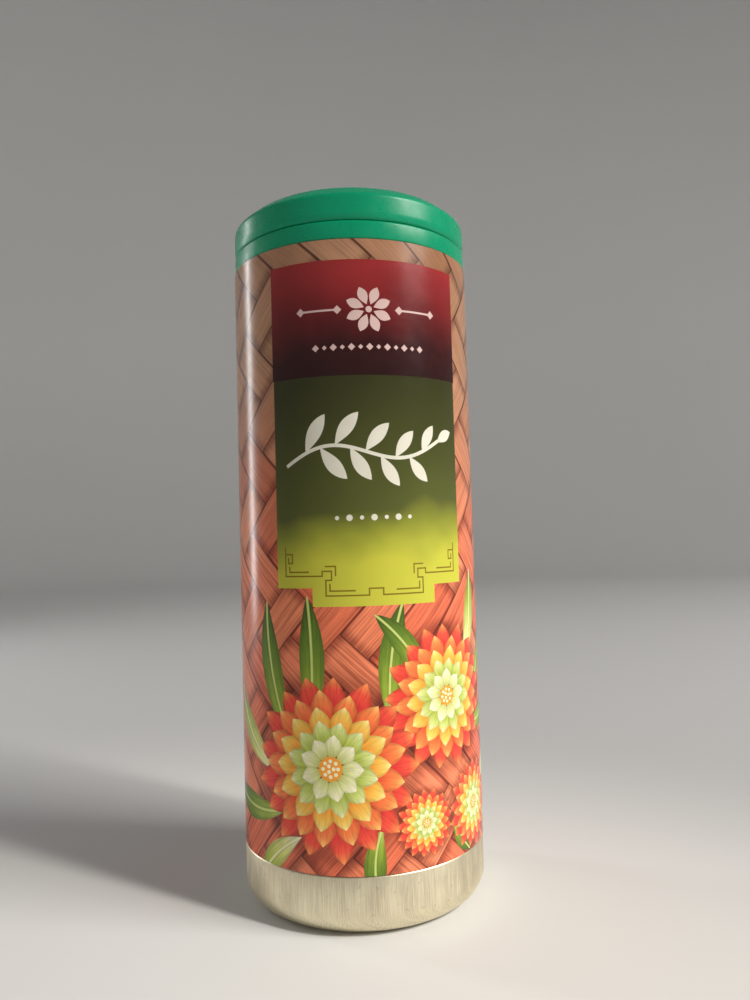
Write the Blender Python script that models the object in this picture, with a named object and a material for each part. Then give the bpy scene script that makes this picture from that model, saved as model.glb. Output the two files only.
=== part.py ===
"""Slim round spice shaker can: drawn aluminium body, printed wrap, green sifter base, green turning cap.

Lengths below are in millimetres and are scaled to metres on the way in. +Z is up, the can stands on
z = 0 with its axis on the Z axis, and the printed front of the wrap faces -Y.
"""
import math

import bmesh
import bpy

MM = 0.001
STEPS = 64

# Overall sizes
BODY_R = 22.5
CLOSURE_R = 22.3
WALL = 0.5

# Foot: rounded outer corner, flat ring, raised floor
BASE_CORNER_R = 4.0
FOOT_INNER_R = 17.3
FLOOR_R = 15.6
FLOOR_Z = 2.2

# Bare band below the wrap
BAND_TOP_Z = 10.2
BAND_EDGE = 0.25

# Printed wrap
WRAP_OUTER_R = BODY_R
WRAP_INNER_R = 22.1
WRAP_BOTTOM_Z = 10.5
WRAP_TOP_Z = 115.9

# Can wall behind the wrap, shoulder, neck and rolled mouth
PANEL_R = 21.8
SHOULDER_Z = 115.8
NECK_R = 18.6
MOUTH_BEAD_R = 19.3
MOUTH_Z = 121.7

# Sifter base: skirt, step that the cap turns on, deck, plug ring and pivot post
SKIRT_BOTTOM_Z = 116.2
SKIRT_TOP_Z = 119.45
SKIRT_BORE_R = 19.3
SNAP_R = 19.0
BEAD_BORE_R = 19.6
STEP_R = 20.9
STEP_GROOVE_R = 20.3
DECK_TOP_Z = 123.7
DECK_BOTTOM_Z = 122.1
DECK_BEVEL = 0.7
PLUG_OUTER_R = 17.7
PLUG_INNER_R = 16.8
PLUG_BOTTOM_Z = 118.9
POST_R = 3.0
POST_TOP_Z = 124.7

# Turning cap: straight wall, bevelled top edge, recessed field
CAP_BOTTOM_Z = 119.75
CAP_UNDER_Z = 124.1
CAP_TOP_Z = 126.4
CAP_WALL_ARC_R = 1.2
CAP_WALL_ARC_Z = 123.6
CAP_TOP_ARC_R = 1.6
CAP_FLAT_R = 19.0
CAP_FIELD_R = 16.6
CAP_FIELD_DEPTH = 0.5
CAP_BORE_R = 21.3
CAP_RIB_R = 20.65
SOCKET_R = 3.4
SOCKET_TOP_Z = 125.0

# Openings, all centred on one pitch radius: cap window, pour opening and sprinkle holes
OPENING_PITCH_R = 11.6
WINDOW_HALF_WIDTH = 4.2
WINDOW_HALF_ANGLE = 26.0
POUR_HALF_WIDTH = 3.7
POUR_HALF_ANGLE = 20.0
WINDOW_AZIMUTH = 90.0
POUR_AZIMUTH = 0.0
SPRINKLE_AZIMUTH = 180.0
HOLE_R = 1.15
HOLE_ROWS = ((9.2, (-22.0, 0.0, 22.0)), (13.6, (-26.0, -13.0, 0.0, 13.0, 26.0)))

# Turning stop: a lug under the cap runs in a curved groove in the deck
STOP_R = 18.9
STOP_AZIMUTH = 270.0
STOP_GROOVE_HALF_WIDTH = 0.9
STOP_GROOVE_HALF_ANGLE = 90.5
STOP_GROOVE_DEPTH = 0.8
LUG_HALF_WIDTH = 0.5
LUG_HALF_ANGLE = 1.0
LUG_BOTTOM_Z = 123.25


def material(name, color, roughness, metallic=0.0):
    mat = bpy.data.materials.new(name)
    mat.use_nodes = True
    shader = mat.node_tree.nodes["Principled BSDF"]
    shader.inputs["Base Color"].default_value = (*color, 1.0)
    shader.inputs["Roughness"].default_value = roughness
    shader.inputs["Metallic"].default_value = metallic
    mat.diffuse_color = (*color, 1.0)
    return mat


def add_object(name, bm, mat=None):
    bmesh.ops.recalc_face_normals(bm, faces=bm.faces)
    mesh = bpy.data.meshes.new(name)
    bm.to_mesh(mesh)
    bm.free()
    obj = bpy.data.objects.new(name, mesh)
    bpy.context.scene.collection.objects.link(obj)
    if mat is not None:
        mesh.materials.append(mat)
        mesh.shade_smooth()
        mesh.set_sharp_from_angle(angle=math.radians(32.0))
    return obj


def lathe(name, profile, mat):
    """Turn a profile of (radius, height) points about Z. Points at radius 0 become poles."""
    bm = bmesh.new()
    rings = []
    for radius, height in profile:
        if radius == 0.0:
            rings.append([bm.verts.new((0.0, 0.0, height * MM))])
            continue
        ring = []
        for i in range(STEPS):
            angle = math.tau * i / STEPS
            x = radius * math.cos(angle) * MM
            y = radius * math.sin(angle) * MM
            ring.append(bm.verts.new((x, y, height * MM)))
        rings.append(ring)
    pairs = list(zip(rings, rings[1:]))
    if len(rings[0]) > 1:
        pairs.append((rings[-1], rings[0]))
    for low, high in pairs:
        for i in range(STEPS):
            j = (i + 1) % STEPS
            if len(low) == 1:
                bm.faces.new((low[0], high[i], high[j]))
            elif len(high) == 1:
                bm.faces.new((low[i], low[j], high[0]))
            else:
                bm.faces.new((low[i], low[j], high[j], high[i]))
    return add_object(name, bm, mat)


def corner(cx, cz, radius, start, end, steps):
    """Points of a circular corner in the profile plane, angles in degrees from the +radius direction."""
    points = []
    for i in range(steps + 1):
        angle = math.radians(start + (end - start) * i / steps)
        points.append((cx + radius * math.cos(angle), cz + radius * math.sin(angle)))
    return points


def bevelled_edge(top, low, top_steps, low_steps):
    """Two arcs joined by their common tangent, from the flat top down to the upright wall.

    top and low are (centre radius, centre height, arc radius).
    """
    dr = top[0] - low[0]
    dz = top[1] - low[1]
    lean = math.asin((low[2] - top[2]) / math.hypot(dr, dz))
    split = math.degrees(math.atan2(-dr, dz) + lean)
    return corner(*top, 90.0, split, top_steps) + corner(*low, split, 0.0, low_steps)


def arc_outline(pitch_r, half_width, azimuth, half_angle, arc_steps, end_steps):
    """Outline of a round-ended curved slot about the Z axis."""
    points = []
    for side in (1.0, -1.0):
        radius = pitch_r + side * half_width
        for i in range(arc_steps + 1):
            angle = math.radians(azimuth + side * half_angle * (2.0 * i / arc_steps - 1.0))
            points.append((radius * math.cos(angle), radius * math.sin(angle)))
        end = math.radians(azimuth + side * half_angle)
        cx = pitch_r * math.cos(end)
        cy = pitch_r * math.sin(end)
        first = end if side > 0 else end + math.pi
        for i in range(1, end_steps):
            angle = first + math.pi * i / end_steps
            points.append((cx + half_width * math.cos(angle), cy + half_width * math.sin(angle)))
    return points


def circle(cx, cy, radius, steps):
    points = []
    for i in range(steps):
        angle = math.tau * (i + 0.5) / steps
        points.append((cx + radius * math.cos(angle), cy + radius * math.sin(angle)))
    return points


def prism(name, outline, low_z, high_z):
    bm = bmesh.new()
    low = [bm.verts.new((x * MM, y * MM, low_z * MM)) for x, y in outline]
    high = [bm.verts.new((x * MM, y * MM, high_z * MM)) for x, y in outline]
    bm.faces.new(list(reversed(low)))
    bm.faces.new(high)
    for i in range(len(outline)):
        j = (i + 1) % len(outline)
        bm.faces.new((low[i], low[j], high[j], high[i]))
    return add_object(name, bm)


def combine(target, tool, operation):
    tool.hide_render = True
    tool.display_type = "WIRE"
    mod = target.modifiers.new(tool.name, "BOOLEAN")
    mod.operation = operation
    mod.solver = "EXACT"
    mod.object = tool


def build_can(mat):
    """Drawn cup: foot ring, raised floor, bare band, set-back wall behind the wrap, neck, rolled mouth."""
    # Underside and outside, from the middle of the floor up to the mouth
    profile = [(0.0, FLOOR_Z), (FLOOR_R, FLOOR_Z), (FOOT_INNER_R, 0.0)]
    profile += corner(BODY_R - BASE_CORNER_R, BASE_CORNER_R, BASE_CORNER_R, -90.0, 0.0, 7)
    profile += [(BODY_R, BAND_TOP_Z - BAND_EDGE), (BODY_R - BAND_EDGE, BAND_TOP_Z), (PANEL_R, BAND_TOP_Z)]
    profile += corner(PANEL_R - 1.0, SHOULDER_Z - 1.0, 1.0, 0.0, 90.0, 3)
    profile += [(NECK_R + 0.7, SHOULDER_Z), (NECK_R, SHOULDER_Z + 0.8), (NECK_R, MOUTH_Z - 1.5)]
    profile += [(MOUTH_BEAD_R, MOUTH_Z - 1.1), (MOUTH_BEAD_R, MOUTH_Z - 0.3), (MOUTH_BEAD_R - 0.35, MOUTH_Z)]

    # Inside, from the mouth back down to the floor
    inner_r = PANEL_R - WALL
    floor_top = FLOOR_Z + WALL
    profile += [(NECK_R - 0.35, MOUTH_Z), (NECK_R - WALL, MOUTH_Z - 0.3)]
    profile += [(NECK_R - WALL, SHOULDER_Z + 0.5), (NECK_R + 0.4, SHOULDER_Z - WALL)]
    profile += [(PANEL_R - 1.0, SHOULDER_Z - WALL), (inner_r, SHOULDER_Z - 1.0)]
    profile += corner(inner_r - 3.3, 4.2, 3.3, 0.0, -90.0, 4)
    profile += [(FOOT_INNER_R, 0.9), (FLOOR_R + 0.4, floor_top), (0.0, floor_top)]
    return lathe("can_body", profile, mat)


def build_wrap(mat):
    profile = [(WRAP_INNER_R, WRAP_BOTTOM_Z), (WRAP_OUTER_R, WRAP_BOTTOM_Z),
               (WRAP_OUTER_R, WRAP_TOP_Z), (WRAP_INNER_R, WRAP_TOP_Z)]
    return lathe("label_wrap", profile, mat)


def build_sifter(mat):
    """Snap-on base: outer skirt, deck with openings, plug ring inside the mouth and a pivot post."""
    profile = [(0.0, POST_TOP_Z), (POST_R - 0.4, POST_TOP_Z), (POST_R, POST_TOP_Z - 0.4)]
    profile += [(POST_R, DECK_TOP_Z), (STEP_R - DECK_BEVEL, DECK_TOP_Z), (STEP_R, DECK_TOP_Z - DECK_BEVEL)]

    # Groove that the cap's rib snaps into, then the skirt
    profile += [(STEP_R, CAP_BOTTOM_Z + 1.55), (STEP_GROOVE_R, CAP_BOTTOM_Z + 1.35)]
    profile += [(STEP_GROOVE_R, CAP_BOTTOM_Z + 0.65), (STEP_R, CAP_BOTTOM_Z + 0.45)]
    profile += [(STEP_R, SKIRT_TOP_Z), (CLOSURE_R - 0.5, SKIRT_TOP_Z)]
    profile += [(CLOSURE_R - 0.15, SKIRT_TOP_Z - 0.15), (CLOSURE_R, SKIRT_TOP_Z - 0.5)]
    profile += [(CLOSURE_R, SKIRT_BOTTOM_Z + 0.3), (CLOSURE_R - 0.3, SKIRT_BOTTOM_Z)]

    # Bore with the rib that snaps under the can's rolled mouth, then the plug ring
    profile += [(SKIRT_BORE_R + 0.6, SKIRT_BOTTOM_Z), (SKIRT_BORE_R, SKIRT_BOTTOM_Z + 0.5)]
    profile += [(SKIRT_BORE_R, MOUTH_Z - 3.0), (SNAP_R, MOUTH_Z - 2.6), (SNAP_R, MOUTH_Z - 2.2)]
    profile += [(BEAD_BORE_R, MOUTH_Z - 1.6), (BEAD_BORE_R, DECK_BOTTOM_Z), (PLUG_OUTER_R, DECK_BOTTOM_Z)]
    profile += [(PLUG_OUTER_R - 0.2, PLUG_BOTTOM_Z), (PLUG_INNER_R, PLUG_BOTTOM_Z)]
    profile += [(PLUG_INNER_R, DECK_BOTTOM_Z), (0.0, DECK_BOTTOM_Z)]
    sifter = lathe("sifter_base", profile, mat)

    low = DECK_BOTTOM_Z - 1.0
    high = DECK_TOP_Z + 0.6
    outline = arc_outline(OPENING_PITCH_R, POUR_HALF_WIDTH, POUR_AZIMUTH, POUR_HALF_ANGLE, 8, 6)
    combine(sifter, prism("pour_cutter", outline, low, high), "DIFFERENCE")

    outline = arc_outline(STOP_R, STOP_GROOVE_HALF_WIDTH, STOP_AZIMUTH, STOP_GROOVE_HALF_ANGLE, 32, 4)
    combine(sifter, prism("stop_cutter", outline, DECK_TOP_Z - STOP_GROOVE_DEPTH, high), "DIFFERENCE")

    count = 0
    for radius, angles in HOLE_ROWS:
        for offset in angles:
            azimuth = math.radians(SPRINKLE_AZIMUTH + offset)
            outline = circle(radius * math.cos(azimuth), radius * math.sin(azimuth), HOLE_R, 12)
            combine(sifter, prism("hole_cutter_%d" % count, outline, low, high), "DIFFERENCE")
            count += 1
    return sifter


def build_cap(mat):
    """Shallow cup that snaps over the step, with a recessed field, a window, a pivot socket and a stop lug."""
    field_z = CAP_TOP_Z - CAP_FIELD_DEPTH
    profile = [(0.0, field_z), (CAP_FIELD_R, field_z), (CAP_FIELD_R + CAP_FIELD_DEPTH, CAP_TOP_Z)]
    profile += bevelled_edge((CAP_FLAT_R, CAP_TOP_Z - CAP_TOP_ARC_R, CAP_TOP_ARC_R),
                             (CLOSURE_R - CAP_WALL_ARC_R, CAP_WALL_ARC_Z, CAP_WALL_ARC_R), 3, 4)
    profile += [(CLOSURE_R, CAP_BOTTOM_Z + 0.5), (CLOSURE_R - 0.15, CAP_BOTTOM_Z + 0.15)]
    profile += [(CLOSURE_R - 0.5, CAP_BOTTOM_Z), (CAP_BORE_R, CAP_BOTTOM_Z), (CAP_BORE_R, CAP_BOTTOM_Z + 0.6)]
    profile += [(CAP_RIB_R, CAP_BOTTOM_Z + 0.9), (CAP_RIB_R, CAP_BOTTOM_Z + 1.1)]
    profile += [(CAP_BORE_R, CAP_BOTTOM_Z + 1.4), (CAP_BORE_R, CAP_UNDER_Z - 0.9)]
    profile += [(CAP_BORE_R - 0.9, CAP_UNDER_Z), (SOCKET_R, CAP_UNDER_Z), (SOCKET_R, SOCKET_TOP_Z)]
    profile += [(0.0, SOCKET_TOP_Z)]
    cap = lathe("turning_cap", profile, mat)

    outline = arc_outline(STOP_R, LUG_HALF_WIDTH, STOP_AZIMUTH, LUG_HALF_ANGLE, 2, 4)
    combine(cap, prism("stop_lug", outline, LUG_BOTTOM_Z, CAP_UNDER_Z + 0.8), "UNION")

    outline = arc_outline(OPENING_PITCH_R, WINDOW_HALF_WIDTH, WINDOW_AZIMUTH, WINDOW_HALF_ANGLE, 8, 6)
    combine(cap, prism("window_cutter", outline, CAP_UNDER_Z - 1.0, CAP_TOP_Z + 1.0), "DIFFERENCE")
    return cap


def main():
    for obj in list(bpy.data.objects):
        bpy.data.objects.remove(obj, do_unlink=True)
    build_can(material("bare_aluminium", (0.62, 0.61, 0.57), 0.32, 1.0))
    build_wrap(material("printed_wrap", (0.30, 0.07, 0.04), 0.25))
    build_sifter(material("green_plastic_base", (0.003, 0.29, 0.135), 0.3))
    build_cap(material("green_plastic_cap", (0.003, 0.29, 0.135), 0.3))


main()
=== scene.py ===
import math

import bmesh
import bpy
import numpy as np
from mathutils import Matrix, Vector
from mathutils.geometry import delaunay_2d_cdt


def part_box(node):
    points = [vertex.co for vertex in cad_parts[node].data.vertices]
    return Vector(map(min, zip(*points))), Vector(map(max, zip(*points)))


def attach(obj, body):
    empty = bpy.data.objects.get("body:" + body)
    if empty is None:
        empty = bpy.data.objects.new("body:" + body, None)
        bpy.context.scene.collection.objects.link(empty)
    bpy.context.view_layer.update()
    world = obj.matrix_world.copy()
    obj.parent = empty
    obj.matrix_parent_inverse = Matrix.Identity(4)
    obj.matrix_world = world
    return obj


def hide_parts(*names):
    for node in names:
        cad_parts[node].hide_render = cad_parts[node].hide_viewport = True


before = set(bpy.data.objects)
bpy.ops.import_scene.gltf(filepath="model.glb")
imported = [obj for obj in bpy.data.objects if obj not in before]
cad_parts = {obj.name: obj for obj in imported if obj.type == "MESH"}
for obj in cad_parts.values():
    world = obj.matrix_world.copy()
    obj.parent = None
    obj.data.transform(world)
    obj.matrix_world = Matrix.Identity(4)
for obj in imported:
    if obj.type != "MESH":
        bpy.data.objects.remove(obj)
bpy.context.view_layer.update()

MM = 0.001
STEPS = 192
SHARP_ANGLE = math.radians(30.0)


def node_sizes(node):
    """Outer radius, lowest and highest level of a node that is turned about Z, in millimetres."""
    low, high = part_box(node)
    return high.x / MM, low.z / MM, high.z / MM


# Levels and radii read from the solids, in millimetres
BODY_R, WRAP_LOW, WRAP_HIGH = node_sizes("label_wrap")
_, _, MOUTH_Z = node_sizes("can_body")
CLOSURE_R, SKIRT_LOW, POST_TOP = node_sizes("sifter_base")
_, CAP_LOW, CAP_TOP = node_sizes("turning_cap")

# Levels that lie inside those nodes
BAND_TOP = WRAP_LOW - 0.3
SHOULDER_Z = WRAP_HIGH - 0.1
SKIRT_TOP = CAP_LOW - 0.3
DECK_TOP = POST_TOP - 1.0
DECK_LOW = DECK_TOP - 1.6
CAP_UNDER = DECK_TOP + 0.4
FIELD_Z = CAP_TOP - 0.5

# Wrap: the sheet lies just outside the metal band, and its last strip laps over the first
PANEL_R = 21.8
WRAP_R = BODY_R - 0.05
BAND_R = BODY_R - 0.1
WRAP_FOOT = WRAP_LOW - 0.25
WRAP_HEAD = WRAP_HIGH + 0.25
OVERLAP_WIDTH = 4.0
OVERLAP_RAMP = 0.3
SEAM_S = 46.0
GIRTH = math.tau * BODY_R
SEAM_START = SEAM_S - GIRTH

# Levels and half widths of the printed panels, and the width of their fret lines
RED_HIGH = 112.6
RED_LOW = 92.8
GREEN_LOW = 57.2
GREEN_FOOT = 54.1
RED_HALF = 18.0
GREEN_HALF = 17.8
FOOT_HALF = 10.9
FORM_HALF = 18.0
FORM_EDGE = 0.8
FRET_WIDTH = 0.26

# Openings in the closure: half widths and half angles of the slots, rows of sprinkle holes
PITCH_R = 11.6
POUR_SLOT = (3.7, 20.0)
WINDOW_SLOT = (4.2, 26.0)
STOP_R = 18.9
STOP_SLOT = (0.9, 90.5)
LUG_SLOT = (0.5, 1.0)
SPRINKLE_R = 1.15
SPRINKLE_ROWS = ((9.2, (-22.0, 0.0, 22.0)), (13.6, (-26.0, -13.0, 0.0, 13.0, 26.0)))


# Mesh helpers

def new_object(name, mesh, body, node=None):
    obj = bpy.data.objects.new(name, mesh)
    bpy.context.scene.collection.objects.link(obj)
    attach(obj, body)
    if node:
        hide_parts(node)


def corner(cx, cz, rx, rz, start, end, steps):
    """Points of an elliptical corner in the profile plane, angles in degrees from the outward direction."""
    points = []
    for i in range(steps + 1):
        angle = math.radians(start + (end - start) * i / steps)
        points.append((cx + rx * math.cos(angle), cz + rz * math.sin(angle)))
    return points


def lathe_mesh(name, profile):
    """Turned surface with a UV map in millimetres: u runs round the surface, v along the profile."""
    bm = bmesh.new()
    uv_layer = bm.loops.layers.uv.new("flat_mm")
    lengths = [0.0]
    for (r0, z0), (r1, z1) in zip(profile, profile[1:]):
        lengths.append(lengths[-1] + math.hypot(r1 - r0, z1 - z0))
    rings = []
    for radius, height in profile:
        if radius == 0.0:
            rings.append([bm.verts.new((0.0, 0.0, height * MM))])
            continue
        ring = []
        for i in range(STEPS):
            angle = math.tau * i / STEPS
            place = (radius * math.cos(angle) * MM, radius * math.sin(angle) * MM, height * MM)
            ring.append(bm.verts.new(place))
        rings.append(ring)
    for k in range(len(profile) - 1):
        a, b = rings[k], rings[k + 1]
        va, vb = lengths[k], lengths[k + 1]
        radius = max(profile[k][0], profile[k + 1][0])
        for i in range(STEPS):
            j = (i + 1) % STEPS
            u0 = math.tau * radius * i / STEPS
            u1 = math.tau * radius * (i + 1) / STEPS
            if len(a) == 1:
                face = bm.faces.new((a[0], b[i], b[j]))
                uvs = ((u0, va), (u0, vb), (u1, vb))
            elif len(b) == 1:
                face = bm.faces.new((a[i], a[j], b[0]))
                uvs = ((u0, va), (u1, va), (u0, vb))
            else:
                face = bm.faces.new((a[i], a[j], b[j], b[i]))
                uvs = ((u0, va), (u1, va), (u1, vb), (u0, vb))
            for loop, uv in zip(face.loops, uvs):
                loop[uv_layer].uv = uv
    bmesh.ops.recalc_face_normals(bm, faces=bm.faces)
    mesh = bpy.data.meshes.new(name)
    bm.to_mesh(mesh)
    bm.free()
    mesh.shade_smooth()
    mesh.set_sharp_from_angle(angle=SHARP_ANGLE)
    return mesh


def arc_outline(pitch_r, slot, azimuth, arc_steps, end_steps):
    """Outline of a round-ended curved slot about the Z axis. The slot is (half width, half angle)."""
    half_width, half_angle = slot
    points = []
    for side in (1.0, -1.0):
        radius = pitch_r + side * half_width
        for i in range(arc_steps + 1):
            angle = math.radians(azimuth + side * half_angle * (2.0 * i / arc_steps - 1.0))
            points.append((radius * math.cos(angle), radius * math.sin(angle)))
        end = math.radians(azimuth + side * half_angle)
        cx, cy = pitch_r * math.cos(end), pitch_r * math.sin(end)
        first = end if side > 0 else end + math.pi
        for i in range(1, end_steps):
            angle = first + math.pi * i / end_steps
            points.append((cx + half_width * math.cos(angle), cy + half_width * math.sin(angle)))
    return points


def disc(cx, cz, radius, steps=24):
    points = []
    for i in range(steps):
        angle = math.tau * (i + 0.5) / steps
        points.append((cx + radius * math.cos(angle), cz + radius * math.sin(angle)))
    return points


def prism(outline, low_z, high_z):
    bm = bmesh.new()
    low = [bm.verts.new((x * MM, y * MM, low_z * MM)) for x, y in outline]
    high = [bm.verts.new((x * MM, y * MM, high_z * MM)) for x, y in outline]
    bm.faces.new(list(reversed(low)))
    bm.faces.new(high)
    for i in range(len(outline)):
        j = (i + 1) % len(outline)
        bm.faces.new((low[i], low[j], high[j], high[i]))
    bmesh.ops.recalc_face_normals(bm, faces=bm.faces)
    mesh = bpy.data.meshes.new("prism")
    bm.to_mesh(mesh)
    bm.free()
    return mesh


def cut(mesh, outlines_and_levels):
    """Cuts openings out of a closed mesh and returns the finished mesh."""
    obj = bpy.data.objects.new("blank", mesh)
    bpy.context.scene.collection.objects.link(obj)
    cutters = []
    for outline, low_z, high_z in outlines_and_levels:
        cutter = bpy.data.objects.new("cutter", prism(outline, low_z, high_z))
        bpy.context.scene.collection.objects.link(cutter)
        cutters.append(cutter)
        mod = obj.modifiers.new("cut", "BOOLEAN")
        mod.operation = "DIFFERENCE"
        mod.solver = "EXACT"
        mod.object = cutter
    graph = bpy.context.evaluated_depsgraph_get()
    result = bpy.data.meshes.new_from_object(obj.evaluated_get(graph), preserve_all_data_layers=True,
                                             depsgraph=graph)
    for used in (obj, *cutters):
        bpy.data.objects.remove(used)
    result.materials.clear()
    result.shade_smooth()
    result.set_sharp_from_angle(angle=SHARP_ANGLE)
    return result


# Material helpers

def srgb(r, g, b):
    out = []
    for c in (r, g, b):
        c = c / 255.0
        out.append(c / 12.92 if c <= 0.04045 else ((c + 0.055) / 1.055) ** 2.4)
    return (*out, 1.0)


def stops(*pairs):
    """Colour stops from alternating positions and sRGB triples."""
    return [(place, srgb(*color)) for place, color in zip(pairs[::2], pairs[1::2])]


class Graph:
    """Small helper around a Principled material's node tree."""

    def __init__(self, name):
        self.mat = bpy.data.materials.new(name)
        self.mat.use_nodes = True
        self.tree = self.mat.node_tree
        self.shader = self.tree.nodes["Principled BSDF"]

    def put(self, socket, value):
        if isinstance(value, bpy.types.NodeSocket):
            self.tree.links.new(value, socket)
        elif value is not None:
            socket.default_value = value

    def set(self, **values):
        for key, value in values.items():
            self.put(self.shader.inputs[key.replace("_", " ")], value)

    def math(self, op, a, b=None):
        node = self.tree.nodes.new("ShaderNodeMath")
        node.operation = op
        for socket, value in zip(node.inputs, (a, b)):
            self.put(socket, value)
        return node.outputs[0]

    def add(self, a, b):
        return self.math("ADD", a, b)

    def sub(self, a, b):
        return self.math("SUBTRACT", a, b)

    def mul(self, a, b):
        return self.math("MULTIPLY", a, b)

    def step(self, value, low, high, out_low=0.0, out_high=1.0, smooth=True):
        node = self.tree.nodes.new("ShaderNodeMapRange")
        node.interpolation_type = "SMOOTHSTEP" if smooth else "LINEAR"
        self.put(node.inputs["Value"], value)
        self.put(node.inputs["From Min"], low)
        self.put(node.inputs["From Max"], high)
        self.put(node.inputs["To Min"], out_low)
        self.put(node.inputs["To Max"], out_high)
        return node.outputs["Result"]

    def uv(self, layer="flat_mm"):
        node = self.tree.nodes.new("ShaderNodeUVMap")
        node.uv_map = layer
        split = self.tree.nodes.new("ShaderNodeSeparateXYZ")
        self.tree.links.new(node.outputs["UV"], split.inputs[0])
        return split.outputs[0], split.outputs[1]

    def place(self):
        return self.tree.nodes.new("ShaderNodeTexCoord").outputs["Object"]

    def vec(self, x, y, z):
        node = self.tree.nodes.new("ShaderNodeCombineXYZ")
        for socket, value in zip(node.inputs, (x, y, z)):
            self.put(socket, value)
        return node.outputs[0]

    def noise(self, vector, scale=1.0, detail=3.0, rough=0.5):
        node = self.tree.nodes.new("ShaderNodeTexNoise")
        self.put(node.inputs["Vector"], vector)
        node.inputs["Scale"].default_value = scale
        node.inputs["Detail"].default_value = detail
        node.inputs["Roughness"].default_value = rough
        return node.outputs["Fac"]

    def cells(self, vector):
        node = self.tree.nodes.new("ShaderNodeTexWhiteNoise")
        node.noise_dimensions = "3D"
        self.put(node.inputs["Vector"], vector)
        return node.outputs["Value"]

    def mix(self, fac, a, b, mode="MIX"):
        node = self.tree.nodes.new("ShaderNodeMix")
        node.data_type = "RGBA"
        node.blend_type = mode
        self.put(node.inputs[0], fac)
        self.put(node.inputs[6], a)
        self.put(node.inputs[7], b)
        return node.outputs[2]

    def lerp(self, fac, a, b):
        node = self.tree.nodes.new("ShaderNodeMix")
        node.data_type = "FLOAT"
        self.put(node.inputs[0], fac)
        self.put(node.inputs[2], a)
        self.put(node.inputs[3], b)
        return node.outputs[0]

    def ramp(self, fac, colors):
        node = self.tree.nodes.new("ShaderNodeValToRGB")
        ramp = node.color_ramp
        while len(ramp.elements) < len(colors):
            ramp.elements.new(0.5)
        for element, (position, color) in zip(ramp.elements, colors):
            element.position = position
            element.color = color
        self.put(node.inputs["Fac"], fac)
        return node.outputs["Color"]

    def scaled(self, color, factor):
        """Colour times a grey factor."""
        grey = self.tree.nodes.new("ShaderNodeCombineColor")
        for socket in grey.inputs[:3]:
            self.put(socket, factor)
        return self.mix(1.0, color, grey.outputs[0], "MULTIPLY")

    def bump(self, height, strength, distance):
        node = self.tree.nodes.new("ShaderNodeBump")
        node.inputs["Strength"].default_value = strength
        node.inputs["Distance"].default_value = distance
        self.put(node.inputs["Height"], height)
        self.tree.links.new(node.outputs["Normal"], self.shader.inputs["Normal"])


# Metal and plastic

def aluminium():
    """Satin drawn metal: fine upright streaks, broad clouds and a few dull specks."""
    g = Graph("drawn_aluminium")
    u, v = g.uv()
    streak = g.noise(g.vec(g.mul(u, 5.0), g.mul(v, 0.16), 0.0), 1.0, 4.0, 0.65)
    broad = g.noise(g.vec(g.mul(u, 0.35), g.mul(v, 0.1), 4.0), 1.0, 2.0)
    tone = g.add(g.mul(streak, 0.65), g.mul(broad, 0.35))
    color = g.mix(g.step(tone, 0.34, 0.66), srgb(206, 196, 170), srgb(244, 235, 206))
    speck = g.noise(g.place(), 1100.0, 3.0, 0.6)
    color = g.mix(g.step(speck, 0.6, 0.8, 0.0, 0.5), color, srgb(140, 132, 112))
    g.set(Base_Color=color, Metallic=1.0)
    g.set(Roughness=g.step(streak, 0.3, 0.7, 0.34, 0.5))
    g.bump(tone, 0.3, 0.00003)
    return g.mat


def green_plastic(name):
    """Moulded semi-gloss plastic with soft flow clouds, fine grain and light scuffs."""
    g = Graph(name)
    place = g.place()
    cloud = g.noise(place, 55.0, 3.0)
    fine = g.noise(place, 2400.0, 2.0)
    scuff = g.noise(place, 420.0, 4.0, 0.65)
    color = g.mix(g.step(cloud, 0.3, 0.7), srgb(0, 148, 104), srgb(0, 158, 113))
    color = g.mix(g.step(scuff, 0.6, 0.8, 0.0, 0.03), color, srgb(90, 180, 150))
    g.set(Base_Color=color, Specular_IOR_Level=0.3)
    g.set(Roughness=g.add(g.step(scuff, 0.35, 0.75, 0.26, 0.38), g.step(fine, 0.3, 0.7, -0.02, 0.02)))
    g.bump(g.add(g.mul(fine, 0.6), scuff), 0.06, 0.00004)
    return g.mat


# Printed inks

def film(g, color):
    """Satin varnish over every ink on the wrap: faint print grain, soft waves and light rubbing."""
    u, v = g.uv()
    grain = g.noise(g.vec(u, v, 0.0), 14.0, 2.0)
    rub = g.noise(g.vec(g.mul(u, 0.35), g.mul(v, 0.8), 7.0), 1.2, 5.0, 0.65)
    wave = g.noise(g.vec(g.mul(u, 0.12), g.mul(v, 0.035), 2.0), 1.0, 2.0)
    g.set(Base_Color=g.scaled(color, g.step(grain, 0.2, 0.8, 0.94, 1.04)), Specular_IOR_Level=0.34)
    g.set(Roughness=g.step(rub, 0.35, 0.75, 0.2, 0.26))
    g.bump(wave, 0.12, 0.0005)
    return g.mat


def ink(name, color):
    """One flat printed colour with a faint cloud."""
    g = Graph(name)
    u, v = g.uv()
    cloud = g.noise(g.vec(u, v, 3.0), 0.35, 3.0)
    return film(g, g.scaled(color, g.step(cloud, 0.3, 0.7, 0.97, 1.02)))


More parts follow.
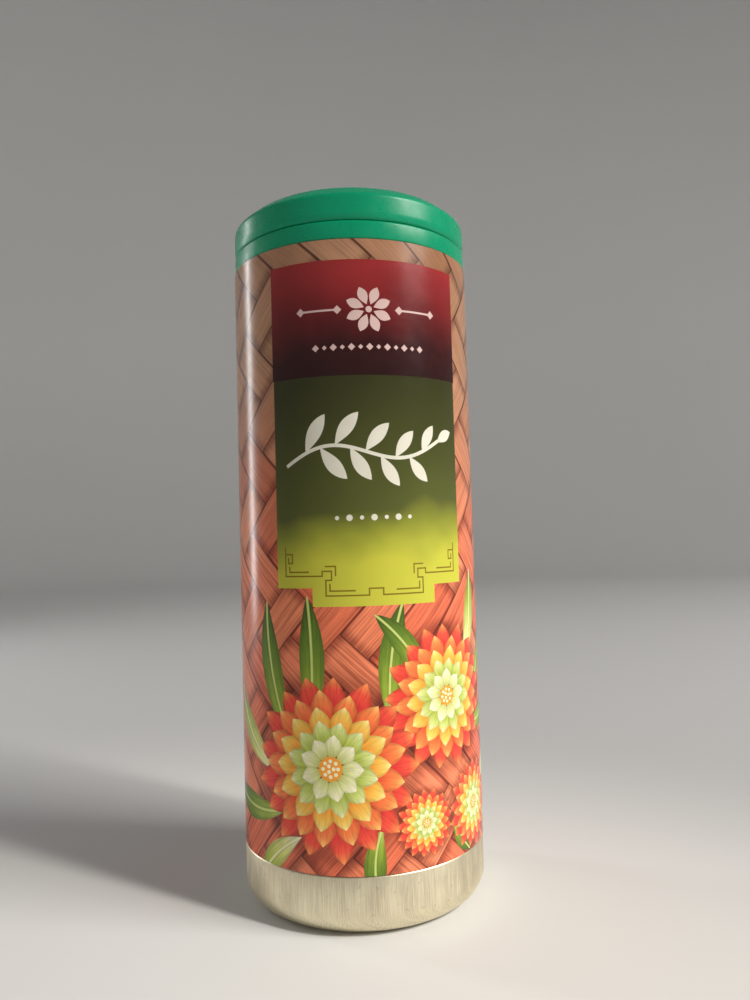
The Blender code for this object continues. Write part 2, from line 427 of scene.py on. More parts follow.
def petal_ink(name, colors, vein_count, vein_depth, edge_tone, rib=None):
    """Ink of a petal or leaf. The motif map runs from 0 at the foot to 1 at the tip, and -1 to 1 across."""
    g = Graph(name)
    along, across = g.uv("motif")
    side = g.math("ABSOLUTE", across)
    swell = g.math("SINE", g.mul(g.math("POWER", along, BLADE_SKEW), math.pi))
    fullness = g.math("POWER", swell, BLADE_POWER)
    reach = g.math("DIVIDE", side, g.math("MAXIMUM", fullness, 0.05))
    veins = g.noise(g.vec(g.mul(across, vein_count), g.mul(along, 1.6), 1.0), 1.0, 3.0, 0.6)
    u, v = g.uv()
    cloud = g.noise(g.vec(u, v, 5.0), 0.5, 3.0)
    tone = g.step(veins, 0.3, 0.7, 1.0 - vein_depth, 1.0 + vein_depth * 0.4)
    tone = g.mul(tone, g.step(reach, 0.55, 1.0, 1.0, edge_tone))
    tone = g.mul(tone, g.step(cloud, 0.3, 0.7, 0.93, 1.06))
    color = g.scaled(g.ramp(along, colors), tone)
    if rib:
        color = g.mix(g.step(side, 0.05, 0.13, 0.85, 0.0), color, rib)
    return film(g, color)


def mat_weave(shadows):
    """Twilled mat of wide split-cane strips: two over, two under, fine ribs along each strip, dark gaps.

    shadows are (s, z, radius) of the round motifs that cast a soft printed shadow on the mat.
    """
    g = Graph("print_mat")
    u, v = g.uv()
    width = 6.4
    angle = math.radians(47.0)
    c, s = math.cos(angle) / width, math.sin(angle) / width
    p = g.add(g.mul(u, c), g.mul(v, s))
    q = g.sub(g.mul(v, c), g.mul(u, s))
    column, row = g.math("FLOOR", p), g.math("FLOOR", q)
    turn = g.math("FLOORED_MODULO", g.add(column, row), 4.0)
    over = g.math("LESS_THAN", turn, 1.5)
    run_q = g.math("FLOORED_MODULO", g.add(column, q), 4.0)
    run_p = g.sub(g.math("FLOORED_MODULO", g.add(row, p), 4.0), 2.0)
    along = g.lerp(over, run_p, run_q)
    across = g.lerp(over, g.math("FRACT", q), g.math("FRACT", p))
    lengthwise = g.lerp(over, p, q)
    crosswise = g.lerp(over, q, p)
    strip = g.cells(g.vec(g.lerp(over, row, column), over, 5.0))
    ribs = g.noise(g.vec(g.mul(crosswise, 15.0), g.mul(lengthwise, 0.35), over), 1.0, 3.0, 0.7)
    bands = g.noise(g.vec(g.mul(crosswise, 4.0), g.mul(lengthwise, 0.5), over), 1.0, 2.0)
    edge = g.math("MINIMUM", across, g.sub(1.0, across))
    end = g.math("MINIMUM", along, g.sub(2.0, along))

    # The mat is printed tan higher up and salmon lower down. The blend also carries painted light: painted
    # shade darkens the top and painted light brightens the foot.
    height = g.step(v, 50.0, 100.0)
    top = g.mix(strip, srgb(164, 117, 86), srgb(188, 140, 108))
    low = g.mix(strip, srgb(236, 112, 78), srgb(250, 150, 108))
    base = g.mix(height, low, top)
    fine = g.lerp(height, 0.70, 0.86)
    tone = g.add(g.step(ribs, 0.36, 0.64, fine, 1.06), g.step(bands, 0.3, 0.7, -0.08, 0.05))
    tone = g.mul(tone, g.step(edge, 0.012, 0.055, 0.34, 1.0))
    tone = g.mul(tone, g.step(end, 0.0, 0.34, 0.62, 1.0))
    for cx, cz, radius in shadows:
        away = g.math("SQRT", g.add(g.math("POWER", g.sub(u, cx), 2.0), g.math("POWER", g.sub(v, cz), 2.0)))
        tone = g.mul(tone, g.step(away, radius * 0.92, radius * 1.16, 0.62, 1.0))
    deep = g.mix(g.step(tone, 0.2, 0.95), srgb(196, 96, 84), (1.0, 1.0, 1.0, 1.0))
    return film(g, g.scaled(g.mix(0.6, base, g.mix(1.0, base, deep, "MULTIPLY")), tone))


def panel_ink(name, colors, low, high):
    """Panel printed with a gradient up the wrap, its colours at shares of the height."""
    g = Graph(name)
    u, v = g.uv()
    drift = g.noise(g.vec(u, v, 9.0), 0.09, 2.0)
    height = g.add(v, g.step(drift, 0.2, 0.8, -2.0, 2.0))
    height = g.sub(height, g.mul(u, 0.05))
    return film(g, g.ramp(g.step(height, low, high, smooth=False), colors))


# Outlines for the print, in millimetres on the unrolled wrap

BLADE_PEAK = 0.55
BLADE_SKEW = math.log(0.5) / math.log(BLADE_PEAK)
BLADE_POWER = 0.85


def rect(s0, z0, s1, z1):
    return [(s0, z0), (s1, z0), (s1, z1), (s0, z1)]


def lozenge(x, z, size):
    return [(x - size, z), (x, z - size), (x + size, z), (x, z + size)]


def stroke(points, width):
    """Boxes along a run of points, with square ends."""
    boxes = []
    half = width / 2.0
    for (x0, z0), (x1, z1) in zip(points, points[1:]):
        length = math.hypot(x1 - x0, z1 - z0)
        dx, dz = (x1 - x0) / length * half, (z1 - z0) / length * half
        boxes.append([(x0 - dx - dz, z0 - dz + dx), (x0 - dx + dz, z0 - dz - dx),
                      (x1 + dx + dz, z1 + dz - dx), (x1 + dx - dz, z1 + dz + dx)])
    return boxes


def mirrored(points):
    return [(-x, z) for x, z in points]


class Blade:
    """Petal or leaf that leaves its foot along a heading and bends evenly over its length."""

    def __init__(self, x, z, length, width, heading, bend, steps):
        self.foot = (x, z)
        self.length, self.half_width = length, width / 2.0
        self.heading, self.bend = math.radians(heading), math.radians(bend)
        left, right = [], []
        for i in range(steps + 1):
            t = i / steps
            (px, pz), turned = self.spine(t)
            shape = math.sin(math.pi * t ** BLADE_SKEW) ** BLADE_POWER if 0 < i < steps else 0.0
            half = self.half_width * shape
            nx, nz = -math.sin(turned), math.cos(turned)
            left.append((px + nx * half, pz + nz * half))
            if half:
                right.append((px - nx * half, pz - nz * half))
        self.outline = left + list(reversed(right))

    def spine(self, t):
        """Point and heading at the share t of the length."""
        x, z = self.foot
        turned = self.heading + self.bend * t
        if abs(self.bend) < 1e-4:
            run = self.length * t
            return (x + run * math.cos(turned), z + run * math.sin(turned)), turned
        radius = self.length / self.bend
        return (x + radius * (math.sin(turned) - math.sin(self.heading)),
                z - radius * (math.cos(turned) - math.cos(self.heading))), turned

    def flat(self, x, z):
        """Share of the length and of the half width at a point of the sheet."""
        dx, dz = x - self.foot[0], z - self.foot[1]
        along = dx * math.cos(self.heading) + dz * math.sin(self.heading)
        across = dz * math.cos(self.heading) - dx * math.sin(self.heading)
        if abs(self.bend) < 1e-4:
            return along / self.length, across / self.half_width
        radius = self.length / self.bend
        sign = math.copysign(1.0, radius)
        turned = math.atan2(along * sign, (radius - across) * sign)
        return turned / self.bend, (radius - sign * math.hypot(along, radius - across)) / self.half_width


def blossom(cx, cz, foot_r, length, width, steps):
    """Small one-colour flower of eight petals."""
    petals = []
    for k in range(8):
        heading = 22.5 + 45.0 * k
        a = math.radians(heading)
        x, z = cx + foot_r * math.cos(a), cz + foot_r * math.sin(a)
        petals.append(Blade(x, z, length, width, heading, 0.0, steps))
    return petals


def flower(cx, cz, radius, turn):
    """Round flower of five rings of petals, as (ink, outline or blade) pairs from the bottom layer up."""
    layers = []
    rings = ((17, 0.40, 1.00, 0.30, "petal_red"), (17, 0.34, 0.84, 0.27, "petal_coral"),
             (14, 0.26, 0.68, 0.25, "petal_amber"), (12, 0.17, 0.52, 0.22, "petal_lime"),
             (9, 0.09, 0.36, 0.19, "petal_pale"))
    for index, (count, inner, outer, width, name) in enumerate(rings):
        for k in range(count):
            heading = turn + 360.0 * (k + 0.5 * (index % 2)) / count + 2.2 * math.sin(5.0 * k + index)
            a = math.radians(heading)
            length = (outer - inner) * radius * (1.0 + 0.035 * math.sin(3.0 * k + 2.0 * index))
            x, z = cx + inner * radius * math.cos(a), cz + inner * radius * math.sin(a)
            layers.append((name, Blade(x, z, length, width * radius, heading, 0.0, 10)))
    layers.append(("ink_amber", disc(cx, cz, 0.135 * radius, 20)))
    for ring, count in ((0.085, 8), (0.035, 3)):
        for k in range(count):
            a = math.radians(turn + 360.0 * k / count)
            x, z = cx + ring * radius * math.cos(a), cz + ring * radius * math.sin(a)
            layers.append(("ink_cream", disc(x, z, 0.022 * radius, 8)))
    return layers


FLOWERS = ((13.0, 38.0, 12.4, 6.0), (20.5, 18.0, 7.6, 2.0), (-8.5, 27.5, 15.2, 0.0), (7.8, 17.6, 5.6, 8.0))

LEAVES = ((-15.0, 30.0, 26.0, 4.8, 118.0, -30.0), (-12.0, 32.0, 24.0, 4.6, 84.0, 12.0),
          (-18.0, 26.0, 20.0, 4.6, 160.0, -46.0), (2.0, 34.0, 21.0, 4.4, 96.0, -26.0),
          (9.0, 40.0, 16.0, 4.0, 112.0, 30.0), (18.0, 42.0, 18.0, 4.4, 62.0, 30.0),
          (20.0, 38.0, 22.0, 4.6, 30.0, 42.0), (18.0, 32.0, 22.0, 4.6, -6.0, 46.0),
          (22.0, 20.0, 20.0, 4.4, 20.0, 50.0), (22.0, 15.0, 16.0, 4.2, -16.0, 34.0),
          (-17.0, 20.0, 20.0, 4.8, 196.0, -38.0), (-14.0, 16.0, 13.0, 4.0, 206.0, 30.0),
          (0.0, 18.0, 12.0, 3.8, 246.0, 40.0), (14.0, 17.0, 8.0, 3.2, -70.0, 30.0))


def artwork():
    """Every printed shape as (ink, outline or blade), from the bottom layer up."""
    layers = []
    for index, (x, z, length, width, heading, bend) in enumerate(LEAVES):
        name = "leaf_pale" if index % 3 == 2 else "leaf_green"
        layers.append((name, Blade(x, z, length, width, heading, bend, 18)))
    for place in FLOWERS:
        layers += flower(*place)

    # Dark red panel with a small flower between bars
    middle = 104.0
    layers.append(("panel_red", rect(-RED_HALF, RED_LOW, RED_HALF, RED_HIGH)))
    for petal in blossom(0.0, middle, 0.9, 3.2, 1.7, 8):
        layers.append(("ink_blush", petal))
    layers.append(("ink_blush", disc(0.0, middle, 0.55, 14)))
    for sign in (-1.0, 1.0):
        for box in stroke([(sign * 5.4, middle), (sign * 11.2, middle)], 0.34):
            layers.append(("ink_blush", box))
        for x in (5.4, 11.9):
            layers.append(("ink_blush", lozenge(sign * x, middle, 0.75)))
    for k in range(-6, 7):
        layers.append(("ink_blush", lozenge(1.55 * k, middle - 6.4, 0.42 if k % 2 else 0.62)))

    # Green panel with a stepped foot, a sprig, dots and a fret border
    half = [(-GREEN_HALF, RED_LOW), (-GREEN_HALF, GREEN_LOW),
            (-FOOT_HALF, GREEN_LOW), (-FOOT_HALF, GREEN_FOOT)]
    layers.append(("panel_green", half + list(reversed(mirrored(half)))))
    stem = []
    for i in range(33):
        t = i / 32.0
        stem.append((-15.0 + 27.6 * t, 78.0 + 2.0 * math.sin(math.tau * t) + 3.8 * t))
    for box in stroke(stem, 0.6):
        layers.append(("ink_white", box))
    for k, i in enumerate(range(4, 31, 3)):
        x, z = stem[i]
        up = -1.0 if k % 2 else 1.0
        slope = math.degrees(math.atan2(stem[i + 1][1] - stem[i - 1][1], stem[i + 1][0] - stem[i - 1][0]))
        length = 7.8 - 0.09 * i
        heading = 0.3 * slope + up * 61.0
        layers.append(("ink_white", Blade(x, z, length, 2.6 - 0.02 * i, heading, -up * 14.0, 12)))
    layers.append(("ink_white", Blade(stem[-1][0], stem[-1][1] - 0.1, 4.2, 2.0, 36.0, -14.0, 12)))
    for k in range(-3, 4):
        layers.append(("ink_white", disc(2.1 * k, 68.8, 0.36 if k % 2 else 0.55, 14)))

    fret = [(-16.0, 64.0), (-16.0, 59.2), (-9.1, 59.2), (-9.1, 60.0), (-7.5, 60.0), (-7.5, 58.5),
            (-8.5, 58.5), (-8.5, 55.9), (-1.2, 55.9), (-1.2, 57.0), (0.0, 57.0)]
    hooks = ([(-15.2, 60.7), (-15.2, 59.9), (-11.6, 59.9)],
             [(-16.0, 62.9), (-14.6, 62.9), (-14.6, 61.4), (-15.4, 61.4), (-15.4, 62.2)],
             [(-8.5, 60.8), (-6.8, 60.8), (-6.8, 59.3)],
             [(-7.8, 57.8), (-7.8, 56.7), (-3.6, 56.7)])
    for run in (fret, *hooks):
        for line in (run, mirrored(run)):
            for box in stroke(line, FRET_WIDTH):
                layers.append(("ink_gold", box))

    # Back panel: blank ruled form with fret corners and a small header
    back = -GIRTH / 2.0
    foot, inner = 20.4, FORM_HALF - FORM_EDGE
    layers.append(("ink_crimson", rect(back - FORM_HALF, foot, back + FORM_HALF, 108.4)))
    layers.append(("ink_paper", rect(back - inner, foot + FORM_EDGE, back + inner, 97.0)))
    layers.append(("ink_blush", rect(back - 11.0, 102.4, back + 11.0, 102.75)))
    for petal in blossom(back, 102.6, 0.6, 2.3, 1.2, 6):
        layers.append(("ink_blush", petal))
    row = 92.4
    for group in (4, 3, 6, 4):
        for _ in range(group):
            layers.append(("ink_crimson", rect(back - 13.6, row, back + 13.6, row + 0.16)))
            row -= 3.1
        row -= 3.4
    for sx in (-1.0, 1.0):
        for low, sz in ((22.8, 1.0), (95.4, -1.0)):
            run = [(back + sx * 10.8, low), (back + sx * 15.8, low), (back + sx * 15.8, low + sz * 5.0),
                   (back + sx * 13.9, low + sz * 5.0), (back + sx * 13.9, low + sz * 2.0),
                   (back + sx * 12.4, low + sz * 2.0)]
            for box in stroke(run, FRET_WIDTH):
                layers.append(("ink_crimson", box))
    return layers


def inside(points, polygon):
    """Which of the points lie inside the polygon."""
    px, pz = points[:, 0], points[:, 1]
    result = np.zeros(len(points), dtype=bool)
    for i in range(len(polygon)):
        x0, z0 = polygon[i]
        x1, z1 = polygon[(i + 1) % len(polygon)]
        if z0 == z1:
            continue
        crosses = (z0 > pz) != (z1 > pz)
        result ^= crosses & (px < (x1 - x0) * (pz - z0) / (z1 - z0) + x0)
    return result


def print_sheet(layers, sheet):
    """Flat points, triangles and the layer that each triangle shows, -1 for the mat."""
    outlines = [sheet]
    for _, shape in layers:
        outlines.append(shape.outline if isinstance(shape, Blade) else shape)
    verts, edges = [], []
    for outline in outlines:
        start, count = len(verts), len(outline)
        verts += [Vector(point) for point in outline]
        edges += [(start + i, start + (i + 1) % count) for i in range(count)]
    points, _, faces, _, _, _ = delaunay_2d_cdt(verts, edges, [], 0, 1e-5)
    flat = np.array([(p.x, p.y) for p in points])
    faces = np.array([tuple(face) for face in faces])
    centres = flat[faces].mean(axis=1)
    keep = inside(centres, sheet)
    faces, centres = faces[keep], centres[keep]
    shown = np.full(len(faces), -1)
    for index, outline in enumerate(outlines[1:]):
        box = np.array(outline)
        near = np.flatnonzero(((centres > box.min(axis=0)) & (centres < box.max(axis=0))).all(axis=1))
        shown[near[inside(centres[near], outline)]] = index
    return flat, faces, shown


def build_wrap(materials):
    """Prints the artwork into a flat sheet as faces, cuts the sheet into narrow columns and rolls it up."""
    layers = artwork()
    names = list(materials)
    flat, faces, shown = print_sheet(layers, rect(SEAM_START, WRAP_FOOT, SEAM_S, WRAP_HEAD))

    bm = bmesh.new()
    layer_of = bm.faces.layers.int.new("layer")
    made = [bm.verts.new((x, z, 0.0)) for x, z in flat]
    for corners, index in zip(faces, shown):
        face = bm.faces.new([made[i] for i in corners])
        face[layer_of] = int(index)
        face.material_index = names.index(layers[index][0] if index >= 0 else "mat")
    bmesh.ops.delete(bm, geom=[v for v in bm.verts if not v.link_faces], context="VERTS")
    for k in range(1, STEPS):
        s = SEAM_START + GIRTH * k / STEPS
        bmesh.ops.bisect_plane(bm, geom=bm.verts[:] + bm.edges[:] + bm.faces[:], dist=1e-5,
                               plane_co=(s, 0.0, 0.0), plane_no=(1.0, 0.0, 0.0))

    uv_layer = bm.loops.layers.uv.new("flat_mm")
    motif_layer = bm.loops.layers.uv.new("motif")
    bake_layer = bm.loops.layers.uv.new("OFBake")
    for face in bm.faces:
        index = face[layer_of]
        shape = layers[index][1] if index >= 0 else None
        for loop in face.loops:
            s, z = loop.vert.co.x, loop.vert.co.y
            loop[uv_layer].uv = (s, z)
            share = (z - WRAP_FOOT) / (WRAP_HEAD - WRAP_FOOT)
            loop[bake_layer].uv = ((s - SEAM_START) / GIRTH, 0.01 + 0.98 * share)
            if isinstance(shape, Blade):
                along, across = shape.flat(s, z)
                loop[motif_layer].uv = (min(1.0, max(0.0, along)), across)
    bm.faces.layers.int.remove(layer_of)

    # Roll the sheet, the last strip stepping up over the first, and turn its edges in to the can wall
    for vert in bm.verts:
        s, z = vert.co.x, vert.co.y
        lift = min(1.0, max(0.0, (s - SEAM_S + OVERLAP_WIDTH) / OVERLAP_RAMP))
        radius = WRAP_R + (BODY_R - WRAP_R) * lift
        vert.co = (radius * math.sin(s / BODY_R) * MM, -radius * math.cos(s / BODY_R) * MM, z * MM)
    for level in (WRAP_FOOT, WRAP_HEAD):
        rim = [e for e in bm.edges if e.is_boundary and all(abs(v.co.z / MM - level) < 1e-3 for v in e.verts)]
        lip = bmesh.ops.extrude_edge_only(bm, edges=rim)
        for vert in (item for item in lip["geom"] if isinstance(item, bmesh.types.BMVert)):
            shrink = (PANEL_R + 0.02) / (math.hypot(vert.co.x, vert.co.y) / MM)
            vert.co = (vert.co.x * shrink, vert.co.y * shrink, vert.co.z)
    bmesh.ops.recalc_face_normals(bm, faces=bm.faces)
    bm.faces.ensure_lookup_table()
    middle = bm.faces[0].calc_center_median()
    if bm.faces[0].normal.dot(Vector((middle.x, middle.y, 0.0))) < 0.0:
        bmesh.ops.reverse_faces(bm, faces=bm.faces)
    mesh = bpy.data.meshes.new("printed_wrap")
    bm.to_mesh(mesh)
    bm.free()
    for mat in materials.values():
        mesh.materials.append(mat)
    mesh.shade_smooth()
    mesh.normals_split_custom_set_from_vertices(
        [Vector((vert.co.x, vert.co.y, 0.0)).normalized() for vert in mesh.vertices])
    new_object("printed_wrap", mesh, "can", "label_wrap")


# Metal and plastic pieces

def build_can(mat):
    floor_r, floor_z, floor_bend = 14.9, 2.2, 0.8
    base_bend, neck_r, bore_r = 4.0, 18.6, PANEL_R - 0.5
    profile = [(0.0, floor_z), (floor_r, floor_z)]
    profile += corner(floor_r, floor_z - floor_bend, floor_bend, floor_bend, 90.0, 38.0, 4)
    profile += corner(17.9, 0.62, 0.6, 0.62, 218.0, 270.0, 4)
    profile += corner(BAND_R - base_bend, base_bend, base_bend, base_bend, -90.0, 0.0, 18)
    profile += [(BAND_R, BAND_TOP - 0.3), (BAND_R - 0.06, BAND_TOP - 0.14), (BAND_R - 0.2, BAND_TOP - 0.02)]
    profile += [(PANEL_R, BAND_TOP), (PANEL_R, SHOULDER_Z - 1.0)]
    profile += corner(PANEL_R - 1.0, SHOULDER_Z - 1.0, 1.0, 1.0, 0.0, 90.0, 6)
    profile += [(19.3, SHOULDER_Z), (18.8, SHOULDER_Z + 0.2)]
    profile += [(neck_r, SHOULDER_Z + 0.8), (neck_r, MOUTH_Z - 1.5)]
    profile += corner(18.7, MOUTH_Z - 0.7, 0.6, 0.7, -60.0, 180.0, 12)
    profile += [(18.1, SHOULDER_Z + 0.5), (19.0, SHOULDER_Z - 0.5), (20.8, SHOULDER_Z - 0.5)]
    profile += [(bore_r, SHOULDER_Z - 1.0), (bore_r, 4.2)]
    profile += corner(18.0, 4.2, 3.3, 3.3, 0.0, -90.0, 6)
    profile += [(17.3, 0.9), (16.0, floor_z + 0.5), (0.0, floor_z + 0.5)]
    mesh = lathe_mesh("can_shell", profile)
    mesh.materials.append(mat)
    new_object("can_shell", mesh, "can", "can_body")


def build_sifter(mat):
    groove = CAP_LOW + 0.45
    profile = [(0.0, POST_TOP), (2.55, POST_TOP)]
    profile += corner(2.55, POST_TOP - 0.45, 0.45, 0.45, 90.0, 0.0, 4)
    profile += [(3.0, DECK_TOP + 0.2), (3.2, DECK_TOP), (20.2, DECK_TOP)]
    profile += corner(20.2, DECK_TOP - 0.7, 0.7, 0.7, 90.0, 0.0, 5)
    profile += [(20.9, groove + 1.1), (20.3, groove + 0.9), (20.3, groove + 0.2), (20.9, groove)]
    profile += [(20.9, SKIRT_TOP + 0.2), (21.0, SKIRT_TOP + 0.1)]
    profile += corner(CLOSURE_R - 0.55, SKIRT_TOP - 0.4, 0.55, 0.5, 90.0, 0.0, 8)
    profile += corner(CLOSURE_R - 0.3, SKIRT_LOW + 0.3, 0.3, 0.3, 0.0, -90.0, 4)
    profile += [(19.9, SKIRT_LOW), (19.3, SKIRT_LOW + 0.5), (19.3, MOUTH_Z - 3.0), (19.0, MOUTH_Z - 2.6)]
    profile += [(19.0, MOUTH_Z - 2.2), (19.6, MOUTH_Z - 1.6), (19.6, DECK_LOW), (17.7, DECK_LOW)]
    profile += [(17.5, MOUTH_Z - 2.8), (16.8, MOUTH_Z - 2.8), (16.8, DECK_LOW), (0.0, DECK_LOW)]
    low, high = DECK_LOW - 1.0, DECK_TOP + 0.6
    openings = [(arc_outline(PITCH_R, POUR_SLOT, 0.0, 20, 12), low, high),
                (arc_outline(STOP_R, STOP_SLOT, 270.0, 72, 8), DECK_TOP - 0.8, high)]
    for radius, angles in SPRINKLE_ROWS:
        for offset in angles:
            a = math.radians(180.0 + offset)
            openings.append((disc(radius * math.cos(a), radius * math.sin(a), SPRINKLE_R), low, high))
    mesh = cut(lathe_mesh("sifter", profile), openings)
    mesh.materials.append(mat)
    new_object("sifter_tier", mesh, "can", "sifter_base")


def build_cap(mat):
    """Upper tier: recessed field, bevelled top edge, straight wall and a soft roll at the parting line."""
    top_bend, wall_bend = 1.6, 1.2
    top_r, top_z = 19.0, CAP_TOP - top_bend
    wall_r, wall_z = CLOSURE_R - wall_bend, CAP_TOP - 2.8
    lean = math.asin((wall_bend - top_bend) / math.hypot(wall_r - top_r, top_z - wall_z))
    split = math.degrees(math.atan2(wall_r - top_r, top_z - wall_z) + lean)
    foot = CAP_LOW - 0.1
    profile = [(0.0, FIELD_Z), (16.3, FIELD_Z)]
    profile += corner(16.3, FIELD_Z + 0.3, 0.3, 0.3, -90.0, -35.0, 4)
    profile += corner(17.3, CAP_TOP - 0.4, 0.5, 0.4, 145.0, 90.0, 5)
    profile += corner(top_r, top_z, top_bend, top_bend, 90.0, split, 10)
    profile += corner(wall_r, wall_z, wall_bend, wall_bend, split, 0.0, 10)
    profile += corner(CLOSURE_R - 0.55, foot + 1.5, 0.55, 1.5, 0.0, -90.0, 12)
    profile += [(21.3, foot), (21.3, CAP_LOW + 0.6), (20.65, CAP_LOW + 0.9), (20.65, CAP_LOW + 1.1)]
    profile += [(21.3, CAP_LOW + 1.4), (21.3, CAP_UNDER - 0.9), (20.4, CAP_UNDER), (3.4, CAP_UNDER)]
    profile += [(3.4, CAP_UNDER + 0.9), (0.0, CAP_UNDER + 0.9)]
    window = arc_outline(PITCH_R, WINDOW_SLOT, 90.0, 26, 12)
    mesh = cut(lathe_mesh("cap", profile), [(window, CAP_UNDER - 1.0, CAP_TOP + 1.0)])
    mesh.materials.append(mat)
    new_object("cap_tier", mesh, "cap", "turning_cap")
    lug = prism(arc_outline(STOP_R, LUG_SLOT, 270.0, 2, 6), DECK_TOP - 0.45, CAP_UNDER + 0.05)
    lug.materials.append(mat)
    new_object("stop_lug", lug, "cap")


def build_object():
    shadows = [place[:3] for place in FLOWERS]
    inks = {
        "mat": mat_weave(shadows),
        "panel_red": panel_ink("print_panel_red", stops(
            0.0, (40, 14, 14), 0.25, (54, 17, 18), 0.65, (122, 32, 34), 1.0, (156, 44, 46)),
            RED_LOW, RED_HIGH),
        "panel_green": panel_ink("print_panel_green", stops(
            0.0, (200, 197, 66), 0.17, (195, 193, 64), 0.31, (144, 148, 50),
            0.43, (84, 89, 38), 0.8, (62, 65, 28), 1.0, (53, 54, 24)),
            GREEN_FOOT, RED_LOW),
        "petal_red": petal_ink("print_petal_red", stops(
            0.0, (150, 12, 26), 0.4, (224, 40, 50), 0.78, (240, 84, 62), 1.0, (250, 150, 84)),
            7.0, 0.22, 0.66),
        "petal_coral": petal_ink("print_petal_coral", stops(
            0.0, (196, 34, 30), 0.4, (240, 86, 50), 0.8, (250, 138, 74), 1.0, (254, 196, 110)),
            7.0, 0.2, 0.7),
        "petal_amber": petal_ink("print_petal_amber", stops(
            0.0, (216, 84, 18), 0.45, (248, 164, 54), 0.8, (252, 206, 96), 1.0, (252, 232, 150)),
            7.0, 0.16, 0.76),
        "petal_lime": petal_ink("print_petal_lime", stops(
            0.0, (112, 132, 30), 0.45, (184, 198, 84), 0.8, (216, 224, 140), 1.0, (238, 240, 190)),
            6.0, 0.18, 0.76),
        "petal_pale": petal_ink("print_petal_pale", stops(
            0.0, (176, 184, 80), 0.5, (228, 230, 164), 1.0, (250, 244, 214)),
            6.0, 0.14, 0.82),
        "leaf_green": petal_ink("print_leaf_green", stops(
            0.0, (206, 210, 120), 0.25, (150, 172, 56), 0.65, (104, 134, 40), 1.0, (70, 92, 34)),
            9.0, 0.3, 0.7, srgb(214, 222, 130)),
        "leaf_pale": petal_ink("print_leaf_pale", stops(
            0.0, (246, 240, 206), 0.35, (222, 222, 132), 0.7, (170, 188, 66), 1.0, (112, 134, 46)),
            9.0, 0.26, 0.74, srgb(240, 240, 190)),
        "ink_amber": ink("print_amber", srgb(244, 160, 52)),
        "ink_cream": ink("print_cream", srgb(250, 243, 204)),
        "ink_gold": ink("print_gold", srgb(132, 112, 22)),
        "ink_white": ink("print_white", srgb(226, 222, 206)),
        "ink_blush": ink("print_blush", srgb(222, 190, 184)),
        "ink_paper": ink("print_paper", srgb(236, 222, 188)),
        "ink_crimson": ink("print_crimson", srgb(112, 30, 32)),
    }
    build_wrap(inks)
    build_can(aluminium())
    build_sifter(green_plastic("green_plastic_base"))
    build_cap(green_plastic("green_plastic_cap"))


# Studio and camera

def area_light(name, azimuth, elevation, distance, width, height, power, color=(1.0, 1.0, 1.0)):
    """Soft box aimed at the can. Azimuth is measured from the front towards the right side."""
    target = Vector((0.0, 0.0, 0.06))
    a, e = math.radians(azimuth), math.radians(elevation)
    away = Vector((math.sin(a) * math.cos(e), -math.cos(a) * math.cos(e), math.sin(e)))
    data = bpy.data.lights.new(name, "AREA")
    data.shape = "RECTANGLE"
    data.size = width
    data.size_y = height
    data.energy = power
    data.color = color
    obj = bpy.data.objects.new(name, data)
    obj.location = target + away * distance
    obj.rotation_mode = "QUATERNION"
    obj.rotation_quaternion = (-away).to_track_quat("-Z", "Y")
    obj.visible_camera = False
    bpy.context.scene.collection.objects.link(obj)


def pool_light(name, place, target, angle, power, color):
    """Soft-edged pool of light on the table and the foot of the can."""
    data = bpy.data.lights.new(name, "SPOT")
    data.spot_size = math.radians(angle)
    data.spot_blend = 1.0
    data.shadow_soft_size = 0.04
    data.energy = power
    data.color = color
    obj = bpy.data.objects.new(name, data)
    obj.location = place
    obj.rotation_mode = "QUATERNION"
    obj.rotation_quaternion = (Vector(target) - Vector(place)).to_track_quat("-Z", "Y")
    obj.visible_camera = False
    bpy.context.scene.collection.objects.link(obj)


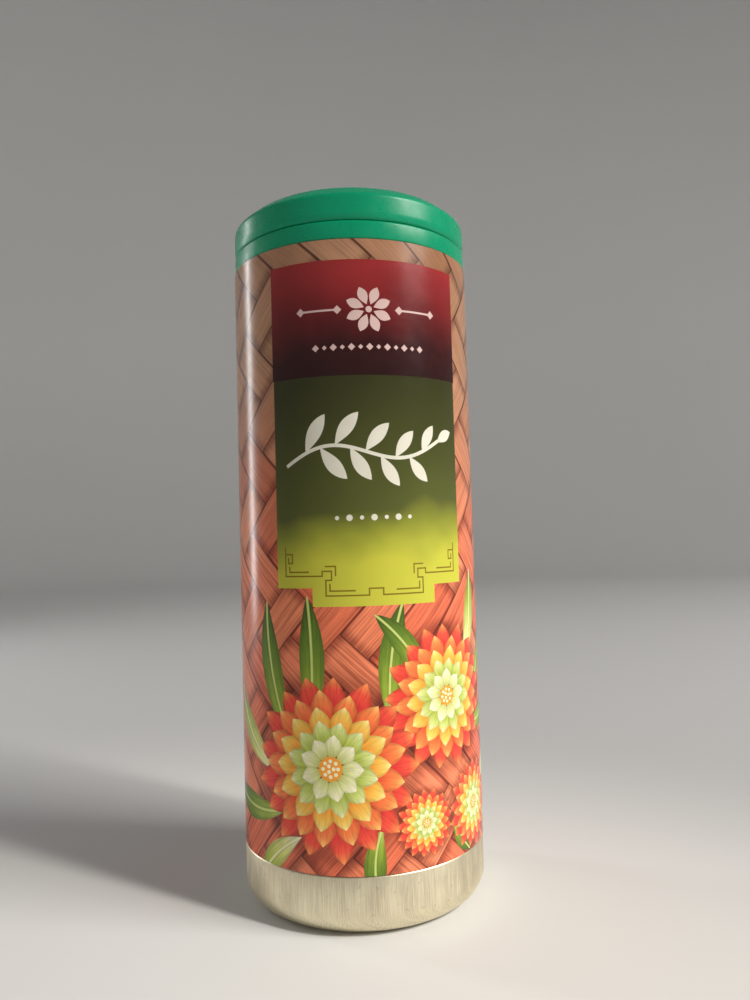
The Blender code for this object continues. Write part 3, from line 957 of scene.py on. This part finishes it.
def build_stage():
    """Pale floor that curves up into a round wall, so that every view has a plain backdrop."""
    wall_r, wall_top, cove = 1600.0, 1500.0, 500.0
    profile = [(0.0, 0.0), (200.0, 0.0), (800.0, 0.0)]
    profile += corner(wall_r - cove, cove, cove, cove, -90.0, 0.0, 12)
    profile += [(wall_r, wall_top)]
    mesh = lathe_mesh("backdrop", profile)
    mesh.flip_normals()
    g = Graph("pale_backdrop")
    cloud = g.noise(g.place(), 3.0, 2.0)
    g.set(Base_Color=g.mix(cloud, (0.63, 0.628, 0.622, 1.0), (0.66, 0.657, 0.651, 1.0)), Roughness=0.7)
    mesh.materials.append(g.mat)
    floor = bpy.data.objects.new("backdrop", mesh)
    bpy.context.scene.collection.objects.link(floor)

    world = bpy.data.worlds.new("studio")
    bpy.context.scene.world = world
    world.use_nodes = True
    background = world.node_tree.nodes["Background"]
    background.inputs["Color"].default_value = (0.80, 0.80, 0.80, 1.0)
    background.inputs["Strength"].default_value = 0.17
    bpy.context.scene.view_settings.view_transform = "Standard"

    area_light("key", 58.0, 36.0, 1.35, 0.55, 0.55, 16.0, (1.0, 0.97, 0.93))
    area_light("edge", -124.0, 12.0, 0.6, 0.06, 0.4, 0.9)
    pool_light("pool", (0.50, -0.46, 0.62), (0.0, -0.035, 0.0), 15.0, 20.0, (1.0, 0.96, 0.86))


def build_camera():
    """Camera at about half the can's height, slightly left of the front, standing close to the can."""
    distance, height, azimuth = 0.15342, 0.06528, math.radians(-7.8)
    yaw, pitch, roll = math.radians(1.396), math.radians(2.786), math.radians(-1.621)
    focal_pixels, frame_height = 786.08, 1000.0
    turn = Matrix.Rotation(azimuth, 3, "Z")
    forward = Vector((math.sin(yaw) * math.cos(pitch), math.cos(yaw) * math.cos(pitch), math.sin(pitch)))
    right = Vector((math.cos(yaw), -math.sin(yaw), 0.0))
    up = right.cross(forward)
    side = math.cos(roll) * right + math.sin(roll) * up
    top = -math.sin(roll) * right + math.cos(roll) * up
    axes = Matrix((turn @ side, turn @ top, turn @ -forward)).transposed()
    data = bpy.data.cameras.new("camera")
    data.sensor_width = 36.0
    data.lens = focal_pixels / frame_height * data.sensor_width
    data.clip_start = 0.01
    data.clip_end = 20.0
    camera = bpy.data.objects.new("camera", data)
    camera.matrix_world = Matrix.Translation(turn @ Vector((0.0, -distance, height))) @ axes.to_4x4()
    bpy.context.scene.collection.objects.link(camera)
    bpy.context.scene.camera = camera


build_object()
build_stage()
build_camera()
